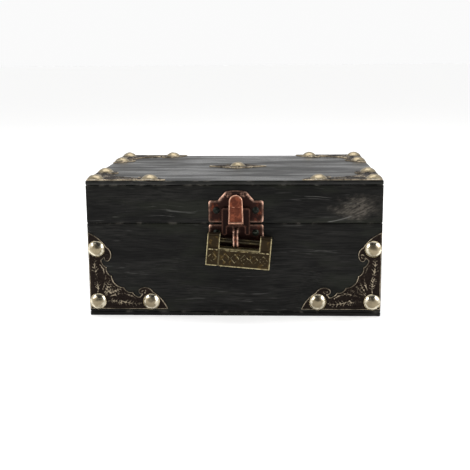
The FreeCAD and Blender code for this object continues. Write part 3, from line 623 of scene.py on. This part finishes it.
def aged_metal_group():
    """Metal that was blackened and then rubbed: bright on edges and raised work, dark in the hollows."""
    group = bpy.data.node_groups.new("aged_metal", "ShaderNodeTree")
    takes = [("Vector", "Vector"), ("Bright", "Color"), ("Plain", "Color"), ("Patina", "Color")]
    numbers = ("Edge", "Lift", "Grime", "Cover", "Edge Wear", "Lift Wear", "Polish")
    takes += [(name, "Float") for name in numbers]
    gives = [("Color", "Color")]
    gives += [(name, "Float") for name in ("Wear", "Patina Mask", "Roughness", "Height")]
    source, result = group_sockets(group, takes, gives)
    vector = source.outputs["Vector"]
    patches = stretched_noise(group, vector, (240, 240, 240), 5.0, 0.6, 1.7)
    fine = stretched_noise(group, vector, (1500, 1500, 1500), 3.0, 0.6, 4.1)
    scuff = stretched_noise(group, vector, (650, 650, 650), 4.0, 0.65, 8.3)
    # This input is painted shade and painted dark reflection: it deepens the patina in the cut lines, beside
    # the hasp leaf and in the middle of the nail heads.
    grime = times(group, source.outputs["Grime"], 0.4)
    cover = combine(group, "ADD", source.outputs["Cover"], grime)
    spread = combine(group, "SUBTRACT", patches, combine(group, "SUBTRACT", 0.75, cover))
    patina = remap(group, combine(group, "ADD", spread, times(group, fine, 0.25)), 0.05, 0.30)
    broken = remap(group, scuff, 0.34, 0.58, 0.35, 1.0)
    edge = times(group, source.outputs["Edge"], source.outputs["Edge Wear"])
    crests = remap(group, times(group, source.outputs["Lift"], broken), 0.45, 0.95)
    crests = times(group, crests, source.outputs["Lift Wear"])
    wear = combine(group, "MAXIMUM", times(group, edge, broken), crests)
    wear = combine(group, "MINIMUM", wear, 1.0)
    colour = mix_colour(group, patina, source.outputs["Plain"], source.outputs["Patina"])
    colour = mix_colour(group, wear, colour, source.outputs["Bright"])
    rough = times(group, patina, 0.22)
    rough = combine(group, "ADD", rough, times(group, fine, 0.10))
    rough = combine(group, "SUBTRACT", rough, times(group, wear, 0.08))
    rough = combine(group, "ADD", rough, combine(group, "SUBTRACT", 1.0, source.outputs["Polish"]))
    height = times(group, scuff, 0.6)
    height = combine(group, "ADD", height, times(group, fine, 0.4))
    fill(group, result, {"Color": colour, "Wear": wear, "Patina Mask": patina, "Roughness": rough,
                         "Height": height})
    return group


aged_metal = aged_metal_group()


def metal_finish(name, bright, plain, patina, cover, edge_wear, lift_wear,
                 bump_depth=0.04, dull=0.35, polish=0.74):
    """One finish of the aged metal. dull is how far the patina hides the metal underneath."""
    finish, tree = new_material(name)
    inputs = {"Vector": add_node(tree, "ShaderNodeTexCoord").outputs["Object"], "Bright": (*bright, 1.0),
              "Plain": (*plain, 1.0), "Patina": (*patina, 1.0), "Cover": cover, "Edge Wear": edge_wear,
              "Lift Wear": lift_wear, "Polish": polish}
    # Along with the worn edges and raised work, this reads the painted shade and painted dark reflection that
    # darken the patina.
    for stored in ("edge", "lift", "grime"):
        read = add_node(tree, "ShaderNodeAttribute", attribute_name=stored)
        inputs[stored.capitalize()] = read.outputs["Fac"]
    aged = add_node(tree, "ShaderNodeGroup", inputs, node_tree=aged_metal).outputs
    hidden = combine(tree, "SUBTRACT", aged["Patina Mask"], aged["Wear"])
    hidden = times(tree, combine(tree, "MAXIMUM", hidden, 0.0), dull)
    bump = {"Strength": 0.6, "Distance": bump_depth * MM, "Height": aged["Height"]}
    fill(tree, tree.nodes["Principled BSDF"], {
        "Base Color": aged["Color"], "Metallic": combine(tree, "SUBTRACT", 1.0, hidden),
        "Roughness": aged["Roughness"], "Normal": add_node(tree, "ShaderNodeBump", bump).outputs["Normal"]})
    return finish


stamped_bronze = metal_finish("stamped_bronze", (0.80, 0.67, 0.48), (0.046, 0.025, 0.016),
                              (0.012, 0.007, 0.005), 0.52, 0.9, 0.50, dull=0.15)
half_edge = run_of_arcs((CORNER_LEG, 0.0), CORNER_ARCS, SHEET_CELL)
corner_outline = half_edge + [(v, u) for u, v in reversed(half_edge[:-1])]
corner_outline += arc_points((0.0, CORNER_LEG), None, (0.0, 0.0), SHEET_CELL)
corner_outline += arc_points((0.0, 0.0), None, (CORNER_LEG, 0.0), SHEET_CELL)[:-1]
corner_pattern = corner_strokes()


def corner_seat(node):
    """The corner, the two directions along its legs and the direction outward of a corner plate's node."""
    low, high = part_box(node)
    right = "_right_" in node
    u = Vector((-1 if right else 1, 0, 0))
    corner_x = high.x if right else low.x
    if node.startswith("base"):
        return Vector((corner_x, high.y, low.z)), (u, Vector((0, 0, 1)), Vector((0, -1, 0)))
    v = Vector((0, -1 if "_back_" in node else 1, 0))
    corner_y = high.y if "_back_" in node else low.y
    return Vector((corner_x, corner_y, low.z)), (u, v, Vector((0, 0, 1)))


CORNERS = ["base_left", "base_right", "lid_front_left", "lid_front_right", "lid_back_left", "lid_back_right"]
for corner in CORNERS:
    node = corner + "_corner_plate"
    place, axes = corner_seat(node)
    name = node + "_stamping"
    stamping = relief_mesh(name, corner_outline, corner_pattern, NAIL_SEATS, place, axes, stamped_bronze)
    add_piece(name, stamping, corner.split("_")[0], "pressed_bronze", node)


# ---- Dome nails ----------------------------------------------------------------------------------------
# Broad pale brass upholstery nails, three to a corner and one through the middle of the lid. Each head is
# a thin dome with lightly hammered facets and a turned-down edge, on a round pointed shank.
NAIL_DOME = 3.0
NAIL_SHANK = 0.9
NAIL_RIM = 0.28
NAIL_FACET = 0.24
NAIL_CREASE = math.radians(50)
NAIL_RINGS = 11
NAIL_SIDES = 36
# Where, as shares of the radius, a nail head's painted dark reflection fades out and is full, and how much
# further it reaches on the lid.
PAINTED_DARK_FROM = 0.80
PAINTED_DARK_FULL = 0.30
LID_PAINTED_DARK = 0.45
nail_brass = metal_finish("polished_nail_brass", (0.95, 0.92, 0.84), (0.74, 0.675, 0.53),
                          (0.275, 0.228, 0.150), 0.20, 0.4, 0.0, 0.012, 0.0, 0.88)


def dome_nail(bm, seat, out, depth, seed):
    """Turns one nail about its outward direction, with the underside of its head at the seat."""
    sphere = (NAIL_RADIUS ** 2 + NAIL_DOME ** 2) / (2 * NAIL_DOME)
    rings = [NAIL_RADIUS * math.sin(math.pi / 2 * i / NAIL_RINGS) for i in range(1, NAIL_RINGS + 1)]
    profile = [(ring, math.sqrt(sphere ** 2 - ring ** 2) - sphere + NAIL_DOME) for ring in rings]
    profile[-1] = (NAIL_RADIUS, NAIL_RIM)
    profile += [(NAIL_RADIUS - 0.06, 0.0), (NAIL_SHANK, 0.0), (NAIL_SHANK, -depth * 0.7)]
    side = out.orthogonal().normalized()
    other = out.cross(side)
    count = NAIL_SIDES
    rim_from = NAIL_RADIUS * 0.97
    edge_mask = []

    def spot(radius, height, angle):
        """A point of the head, moved in or out by the hammer where it is on the dome."""
        at = (side * math.cos(angle) + other * math.sin(angle)) * radius
        if height > NAIL_RIM + 0.02 and radius < rim_from:
            broad = noise.noise((at + out * seed * 3.7) * 0.42)
            height += NAIL_FACET * (broad + 0.5 * noise.noise((at + out * seed * 5.1) * 0.9))
        return bm.verts.new(seat + (at + out * height) * MM)

    crown = spot(0.0, NAIL_DOME, 0.0)
    edge_mask.append(0.0)
    loops = []
    for radius, height in profile:
        loops.append([spot(radius, height, math.tau * i / count) for i in range(count)])
        edge_mask += [1.0 if radius > rim_from else 0.0] * count
    point = bm.verts.new(seat - out * depth * MM)
    edge_mask.append(0.0)
    for i in range(count):
        j = (i + 1) % count
        bm.faces.new((crown, loops[0][i], loops[0][j]))
        bm.faces.new((loops[-1][i], point, loops[-1][j]))
        for inner, outer in zip(loops, loops[1:]):
            bm.faces.new((inner[i], outer[i], outer[j], inner[j]))
    return edge_mask


def nail_group(name, node, seats, out, body):
    """One piece of nails, each head darkened in its middle as a painted dark reflection, further out on the
    lid.
    """
    low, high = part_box(node)
    depth = abs((high - low).dot(out)) / MM - NAIL_DOME
    bm = bmesh.new()
    edge = []
    for number, seat in enumerate(seats):
        edge += dome_nail(bm, seat, out, depth, number + len(name) * 1.7 + seats[0].x * 90)
    bmesh.ops.recalc_face_normals(bm, faces=bm.faces[:])
    for face in bm.faces:
        face.smooth = True
    bm.verts.index_update()
    points = np.array([vert.co for vert in bm.verts])
    away = [np.linalg.norm(np.cross(points - np.array(seat), np.array(out)), axis=1) for seat in seats]
    share = np.min(away, axis=0) / (NAIL_RADIUS * MM)
    start = PAINTED_DARK_FROM + (LID_PAINTED_DARK if body == "lid" else 0.0)
    # Painted dark reflection: the middle of each head is darkened as if it mirrored the dim surround in
    # front.
    painted_dark_middle = np.clip((start - share) / (PAINTED_DARK_FROM - PAINTED_DARK_FULL), 0, 1)
    mesh = finished_mesh(bm, name, nail_brass, edge=edge, grime=painted_dark_middle)
    mesh.set_sharp_from_angle(angle=NAIL_CREASE)
    add_piece(name, mesh, body, "nail_brass", node)


for corner in CORNERS:
    place, (u, v, out) = corner_seat(corner + "_corner_plate")
    seats = [place + (u * a + v * b + out * SHEET_GAUGE) * MM for a, b in NAIL_SEATS]
    nail_group(corner + "_dome_nails", corner + "_corner_nails", seats, out, corner.split("_")[0])


# ---- Lid ornament --------------------------------------------------------------------------------------
# A small pointed stamping in the middle of the lid, of the same bronze as the corners, with eight leaves
# that run out from under its one dome nail.
ORNAMENT_ARCS = [((0.78, 0.16), (0.60, 0.36)), ((0.50, 0.40), (0.42, 0.66)), ((0.22, 0.68), (0.0, 1.0))]
ORNAMENT_LEAVES = [((6.2, 0.0), (19.4, 0.0), 1.5), ((0.0, 6.2), (0.0, 11.8), 1.0),
                   ((5.4, 3.2), (10.4, 5.8), 1.0), ((5.4, -3.2), (10.4, -5.8), 1.0)]
ornament_low, ornament_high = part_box("lid_ornament")
half_long = (ornament_high.x - ornament_low.x) / 2 / MM
half_wide = (ornament_high.y - ornament_low.y) / 2 / MM
quarter = []
for (a, b), (c, d) in ORNAMENT_ARCS:
    quarter.append(((a * half_long, b * half_wide), (c * half_long, d * half_wide)))
quarter_edge = run_of_arcs((half_long, 0.0), quarter, SHEET_CELL)
upper_edge = quarter_edge + [(-x, y) for x, y in reversed(quarter_edge[:-1])]
ornament_outline = upper_edge + [(-x, -y) for x, y in upper_edge[1:-1]]
ornament_middle = (ornament_low + ornament_high) / 2
ornament_middle.z = ornament_low.z
leaves = []
for way in (1, -1):
    for base, tip, spread in ORNAMENT_LEAVES:
        leaves += leaf(np.array(base) * way, np.array(tip) * way, 0.0, spread)
ornament_axes = (Vector((1, 0, 0)), Vector((0, 1, 0)), Vector((0, 0, 1)))
stamping = relief_mesh("lid_ornament_stamping", ornament_outline, leaves, [(0.0, 0.0)], ornament_middle,
                       ornament_axes, stamped_bronze)
add_piece("lid_ornament_stamping", stamping, "lid", "pressed_bronze", "lid_ornament")
nail_group("lid_middle_dome_nail", "lid_ornament_nail", [ornament_middle + Vector((0, 0, SHEET_GAUGE * MM))],
           Vector((0, 0, 1)), "lid")


# ---- Hasp ----------------------------------------------------------------------------------------------
# A hasp of red copper-plated steel: two plates screwed either side of the seam, a leaf that hangs from the
# upper one on a pin, a riveted tab to lift it by, and a loop on the lower plate for the lock.
HASP_ROUND = 0.16
SHARP_FROM = math.radians(32)
SPARED_RADIUS = 1.4 * MM
QUIET_EDGE = 0.25
red_copper = metal_finish("red_copper", (0.95, 0.58, 0.43), (0.118, 0.033, 0.017), (0.021, 0.007, 0.005),
                          0.42, 0.92, 0.6, dull=0.15)
# A darker copy of the red copper, painted shade for the hasp leaf and its pin.
shaded_copper = metal_finish("shade_darkened_copper", (0.40, 0.19, 0.13), (0.050, 0.018, 0.012),
                           (0.012, 0.005, 0.004), 0.52, 0.25, 0.4, dull=0.10)
tab_copper = metal_finish("rubbed_copper", (0.92, 0.52, 0.36), (0.235, 0.070, 0.038), (0.105, 0.030, 0.017),
                          0.36, 0.80, 0.7, dull=0.10)


def rounded_copy(node, rounding, cell, reach, frame_of=Matrix.Identity(4), axes=(0, 1, 2), spared=()):
    """The CAD piece with its sharp edges rounded and its faces cut into cells, in the piece's own frame, and
    how near each point is to an outside edge. Edges round the spared holes, given by x and z, don't wear.
    rounding, cell and reach are in millimetres."""
    bm = bmesh.new()
    bm.from_mesh(frame["nodes"][node].data)
    bmesh.ops.transform(bm, matrix=frame_of, verts=bm.verts[:])
    bmesh.ops.remove_doubles(bm, verts=bm.verts[:], dist=1e-6)
    bmesh.ops.dissolve_limit(bm, angle_limit=0.02, verts=bm.verts[:], edges=bm.edges[:])
    joined = [edge for edge in bm.edges if len(edge.link_faces) == 2]
    outside = [edge for edge in joined if edge.calc_face_angle() > SHARP_FROM and edge.is_convex]
    lines = []
    for edge in outside:
        start, end = (np.array(vert.co) for vert in edge.verts)
        middle = (start + end)[[0, 2]] / 2
        if all(math.dist(middle, hole) >= SPARED_RADIUS for hole in spared):
            lines.append((start, end))
    bmesh.ops.bevel(bm, geom=outside, offset=rounding * MM, segments=2, affect="EDGES", profile=0.6,
                    clamp_overlap=True)
    cut_cells(bm, cell * MM, axes)
    bmesh.ops.triangulate(bm, faces=[face for face in bm.faces if len(face.verts) > 4])
    bm.normal_update()
    points = np.array([vert.co for vert in bm.verts])
    nearest = np.full(len(points), 1.0)
    for start, end in lines:
        run = end - start
        share = np.clip(((points - start) @ run) / max(run @ run, 1e-12), 0, 1)
        nearest = np.minimum(nearest, np.linalg.norm(points - start - share[:, None] * run, axis=1))
    return bm, nearest / MM, np.clip(EDGE_FROM - nearest / (reach * MM), 0, 1)


def smooth_by_angle(bm, degrees=40):
    """Smooth shading that keeps the sharper corners sharp."""
    for face in bm.faces:
        face.smooth = True
    for edge in bm.edges:
        if len(edge.link_faces) == 2:
            edge.smooth = edge.calc_face_angle() < math.radians(degrees)


def copy_piece(name, node, body, slot, material, rounding=HASP_ROUND, cell=1.2, reach=0.8, grime_half=None,
               rubbed=()):
    """The node's piece with rounded worn edges. When a half width is given, its patina is deepened towards
    its middle as painted shade beside the hasp leaf. rubbed are the places where its worn edges are painted
    brightest,
    as highlights: shares of its width and height, and a radius."""
    bm, _, edge = rounded_copy(node, rounding, cell, reach)
    smooth_by_angle(bm)
    low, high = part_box(node)
    grime = np.zeros(len(bm.verts))
    # Painted shade: the patina is deepened towards the middle, beside and under the hasp leaf.
    if grime_half is not None:
        away = np.array([abs(vert.co.x - (low.x + high.x) / 2) for vert in bm.verts]) / MM
        grime = np.clip(1.5 - away / grime_half, 0, 1)
    # Painted highlights: full edge wear is kept only near the given spots, where light catches the slopes and
    # corners, and is quieted elsewhere.
    if rubbed:
        points = np.array([(vert.co.x, vert.co.z) for vert in bm.verts])
        bright = np.full(len(points), QUIET_EDGE)
        for across, up, radius in rubbed:
            spot = (low.x + (high.x - low.x) * across, low.z + (high.z - low.z) * up)
            bright = np.maximum(bright, 1.6 - np.linalg.norm(points - spot, axis=1) / (radius * MM))
        edge = edge * np.minimum(bright, 1)
    return add_piece(name, finished_mesh(bm, name, material, edge=edge, grime=grime), body, slot, node)


# How far from a hasp plate's middle its painted shade reaches, in millimetres, and the spots where its worn
# edges are painted bright as highlights.
PLATE_PAINTED_SHADE_HALF = 9.0
UPPER_HIGHLIGHT_SPOTS = ((0.25, 0.82, 3.2), (0.75, 0.82, 3.2), (0.0, 0.66, 2.2), (1.0, 0.66, 2.2), (1.0, 0.1, 1.8))
LOWER_HIGHLIGHT_SPOTS = ((0.0, 1.0, 2.0), (1.0, 1.0, 2.0), (1.0, 0.6, 1.5))
copy_piece("hasp_upper_plate_pressing", "hasp_upper_plate", "lid", "antique_copper", red_copper,
           grime_half=PLATE_PAINTED_SHADE_HALF, rubbed=UPPER_HIGHLIGHT_SPOTS)
copy_piece("hasp_lower_plate_pressing", "hasp_lower_plate", "base", "antique_copper", red_copper,
           grime_half=PLATE_PAINTED_SHADE_HALF, rubbed=LOWER_HIGHLIGHT_SPOTS)
copy_piece("hasp_staple_loop", "hasp_staple", "base", "antique_copper", red_copper)
copy_piece("hasp_hinge_pin", "hasp_pin", "lid", "antique_copper", shaded_copper, 0.08, 2.0)
copy_piece("hasp_leaf_pressing", "hasp_leaf", "hasp", "antique_copper", shaded_copper)
TAB_LINE = 0.55
TAB_RIM_AT = 0.40
TAB_RIM_HEIGHT = 0.22
TAB_HAMMER = 0.10
TAB_HAMMER_PER_M = 1100
TAB_LIP_AT = 0.6 * MM
TAB_LIP_HEIGHT = 0.08
TAB_LINE_HALF = 0.4 * MM
TAB_LINE_DEPTH = 0.20


def hasp_tab():
    """The tab has a raised rim, and its upper part is hammered down to a cut line. The cut line is painted
    darker as shade, and a painted highlight runs along the lip just above it.
    """
    low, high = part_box("hasp_tab")
    rivet_low, rivet_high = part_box("hasp_tab_rivets")
    rivet_x = (rivet_low.x + rivet_high.x) / 2
    rivet_radius = (rivet_high.x - rivet_low.x) / 2
    rivets = [(rivet_x, rivet_low.z + rivet_radius), (rivet_x, rivet_high.z - rivet_radius)]
    bm, gap, edge = rounded_copy("hasp_tab", HASP_ROUND, 0.45, 0.42, axes=(0, 2), spared=rivets)
    line = low.z + (high.z - low.z) * TAB_LINE
    lift = np.zeros(len(bm.verts))
    grime = np.zeros(len(bm.verts))
    for number, vert in enumerate(bm.verts):
        if vert.normal.y > -0.9:
            continue
        rim = max(0.0, 1 - abs(gap[number] - TAB_RIM_AT) / TAB_RIM_AT)
        inside = min(1.0, max(0.0, gap[number] - 1.0))
        above = vert.co.z - line
        hammer = noise.noise(vert.co * TAB_HAMMER_PER_M) if above > 0 else 0.0
        groove = max(0.0, 1 - abs(above) / TAB_LINE_HALF)
        highlight_lip = min(1.0, max(0.0, 1.5 - abs(above - TAB_LIP_AT) / TAB_LINE_HALF))
        middle = TAB_HAMMER * hammer + TAB_LIP_HEIGHT * highlight_lip - TAB_LINE_DEPTH * groove
        vert.co.y -= (TAB_RIM_HEIGHT * rim + middle * inside) * MM
        # The rim's lift is wear; the lip's is a painted highlight.
        lift[number] = max(rim * 0.8, highlight_lip * inside * 0.8)
        # Painted shade in the cut line.
        grime[number] = groove * inside
    smooth_by_angle(bm)
    mesh = finished_mesh(bm, "hasp_tab_grip", tab_copper, edge=edge, lift=lift, grime=grime)
    add_piece("hasp_tab_grip", mesh, "hasp", "antique_copper", "hasp_tab")


def finish_node(node, material):
    """Gives a CAD piece whose shape is already right its finish."""
    for holder in frame["nodes"][node].material_slots:
        holder.material = material


hasp_tab()
finish_node("hasp_tab_rivets", tab_copper)


# ---- Screws --------------------------------------------------------------------------------------------
# Small slotted dome-head wood screws of blackened steel, four in the hasp and two in each hinge leaf. The
# CAD solids already have their domes and slots, so they only get their finish.
blackened_steel = metal_finish("blackened_steel", (0.42, 0.44, 0.40), (0.052, 0.060, 0.046),
                               (0.012, 0.015, 0.012), 0.42, 0.0, 0.0, 0.03, 0.2, 0.82)
for screwed in ("hasp_lower", "hasp_upper", "left_hinge_base", "left_hinge_lid", "right_hinge_base",
                "right_hinge_lid"):
    finish_node(screwed + "_screws", blackened_steel)


# ---- Hinges --------------------------------------------------------------------------------------------
# Two small butt hinges of browned bronze, screwed on across the seam at the back. Each is two leaves rolled
# round a headed pin.
brown_bronze = metal_finish("browned_bronze", (0.62, 0.49, 0.30), (0.19, 0.125, 0.062), (0.045, 0.032, 0.020),
                            0.48, 0.55, 0.0)
for side in ("left", "right"):
    hinge = side + "_hinge"
    for body in ("base", "lid"):
        node = hinge + "_" + body + "_leaf"
        copy_piece(node + "_rolled", node, body, "hinge_bronze", brown_bronze, 0.14, 1.5)
    copy_piece(hinge + "_headed_pin", hinge + "_pin", "base", "hinge_bronze", brown_bronze, 0.12, 3.0)


# ---- Padlock -------------------------------------------------------------------------------------------
# An old-fashioned bar lock cast in bronze. The bar is fixed to the left end piece and slides out of the
# body with it, once a key has pressed together the springs on its bolt. Both faces have cast ornament.
LOCK_ROUND = 0.3
RIM_HEIGHT = 0.12
BAND_HEIGHT = 0.28
LINE_DEPTH = 0.32
RIM_AT = 0.55
RIM_HALF = 0.45
JOINT_REACH = 1.2
JOINT_EDGE = 0.15
SHOULDER_LINE = -5.0
SHOULDER_HALF = 0.4
# How far below the shoulder's cut line its painted highlight runs.
SHOULDER_LIP = 0.9
BAND_LEVEL = -10.9
BAND_HALF = 3.5
cast_bronze = metal_finish("cast_bronze", (0.78, 0.67, 0.38), (0.104, 0.066, 0.021), (0.026, 0.017, 0.007),
                           0.45, 0.9, 0.5, 0.08, dull=0.15)
sliding_bronze = metal_finish("rubbed_bronze", (0.66, 0.60, 0.40), (0.085, 0.066, 0.032),
                              (0.026, 0.020, 0.011), 0.40, 0.3, 0.0, 0.03, 0.15, 0.86)
spring_steel = metal_finish("spring_steel", (0.62, 0.62, 0.60), (0.38, 0.38, 0.37), (0.20, 0.19, 0.17),
                            0.35, 0.0, 0.0, 0.02, 0.1)
lock_joint = next(joint for joint in frame["joints"] if joint["name"] == "padlock_swing")
lock_centre = Vector(lock_joint["pos_m"])
lock_tilt = Matrix.Rotation(math.atan2(lock_joint["axis"][2], -lock_joint["axis"][0]), 4, "Y")
to_lock = lock_tilt.inverted() @ Matrix.Translation(-lock_centre)
from_lock = Matrix.Translation(lock_centre) @ lock_tilt


def diamond_band(x, z, left, right, level, half):
    """How far, 0 to 1, a place is raised by a row of beaded diamonds with dots between them."""
    count = max(1, round((right - left) / (half * 1.9)))
    pitch = (right - left) / count
    if not left < x < right:
        return 0.0
    along = abs((x - left) % pitch - pitch / 2)
    size = along / (pitch * 0.5) + abs(z - level) / half
    ring = max(0.0, 1 - abs(size - 0.86) / 0.22)
    bead = max(0.0, 1 - size / 0.36)
    dot = max(0.0, 1 - math.hypot(pitch / 2 - along, abs(z - level) - half * 0.72) / 0.75)
    return max(ring, bead, dot)


def cast_block(name, node, body, left, right, joint_end):
    """A cast part of the lock, with a cut line at its shoulder and ornament from left to right on both faces.
    Its edge at the joint between the two parts is crisp and stays dark. Its cut line is painted darker as
    shade, and a painted highlight runs just below it."""
    bm, gap, edge = rounded_copy(node, LOCK_ROUND, 0.42, 0.55, to_lock, (0, 2))
    face_y = max(vert.co.y for vert in bm.verts)
    joint = joint_end(vert.co.x for vert in bm.verts) / MM
    lift = np.zeros(len(bm.verts))
    grime = np.zeros(len(bm.verts))
    for number, vert in enumerate(bm.verts):
        x, z = vert.co.x / MM, vert.co.z / MM
        at_joint = abs(x - joint) < JOINT_REACH and z < SHOULDER_LINE
        if at_joint:
            edge[number] *= JOINT_EDGE
        if abs(vert.normal.y) < 0.9 or abs(vert.co.y) < face_y - 0.05 * MM:
            continue
        inside = min(1.0, max(0.0, (gap[number] - 0.8) / 0.5))
        raised = 0.0 if at_joint else max(0.0, 1 - abs(gap[number] - RIM_AT) / RIM_HALF)
        shoulder = min(1.0, max(0.0, 1.5 - abs(z - SHOULDER_LINE) / SHOULDER_HALF))
        pattern = diamond_band(x, z, left, right, BAND_LEVEL, BAND_HALF)
        # Painted highlight: a bright line just below the cut line.
        highlight_lip = min(1.0, max(0.0, 1.6 - abs(z - SHOULDER_LINE + SHOULDER_LIP) / SHOULDER_HALF))
        height = RIM_HEIGHT * raised + (BAND_HEIGHT * pattern - LINE_DEPTH * shoulder) * inside
        vert.co.y += math.copysign(height, vert.co.y) * MM
        lift[number] = max(raised, pattern * inside, highlight_lip * inside)
        # Painted shade in the cut line.
        grime[number] = shoulder * inside
    smooth_by_angle(bm)
    bmesh.ops.transform(bm, matrix=from_lock, verts=bm.verts[:])
    mesh = finished_mesh(bm, name, cast_bronze, edge=edge, lift=lift, grime=grime)
    add_piece(name, mesh, body, "lock_bronze", node)


cast_block("padlock_body_casting", "padlock_body", "padlock", -9.2, 22.6, min)
cast_block("padlock_end_casting", "padlock_end_piece", "shackle", -17.9, -11.5, max)
copy_piece("padlock_round_bar", "padlock_bar", "shackle", "lock_bronze", sliding_bronze, 0.2, 3.0)
finish_node("padlock_bolt", sliding_bronze)
spring_leaves = copy_piece("padlock_spring_leaves", "padlock_springs", "shackle", "spring_steel",
                           spring_steel, 0.05, 4.0)
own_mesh(spring_leaves)
